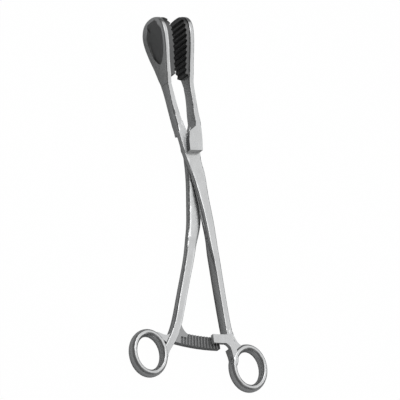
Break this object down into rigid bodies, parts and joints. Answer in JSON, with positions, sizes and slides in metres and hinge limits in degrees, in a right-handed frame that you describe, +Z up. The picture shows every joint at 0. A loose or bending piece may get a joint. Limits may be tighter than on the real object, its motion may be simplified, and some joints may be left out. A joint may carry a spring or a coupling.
{
  "type": "cervical forceps",
  "caption": "Long steel forceps with two toothed leaf jaws, a fork lock on a flush pin, finger rings and a ratchet.",
  "frame": {"origin": "middle of the bounding box on the surface that the forceps lies on", "axes": "+Y from the finger rings to the jaws, +Z up through the front face, +X to the side of the box arm's jaw"},
  "size_m": [0.1032, 0.2644, 0.0293],
  "materials": {
    "arm_steel": "satin",
    "pin_steel": "satin"
  },
  "bodies": {
    "box_side": {"box_arm": "arm_steel", "lock_pin": "pin_steel"},
    "plain_side": {"plain_arm": "arm_steel"}
  },
  "joints": [
    {"name": "lock_hinge", "type": "hinge", "parent": "box_side", "child": "plain_side", "pos_m": [-0.00585, 0.0405, 0.01213], "axis": [0, -0.0424, 0.9991], "range_deg": [-6, 40]}
  ]
}
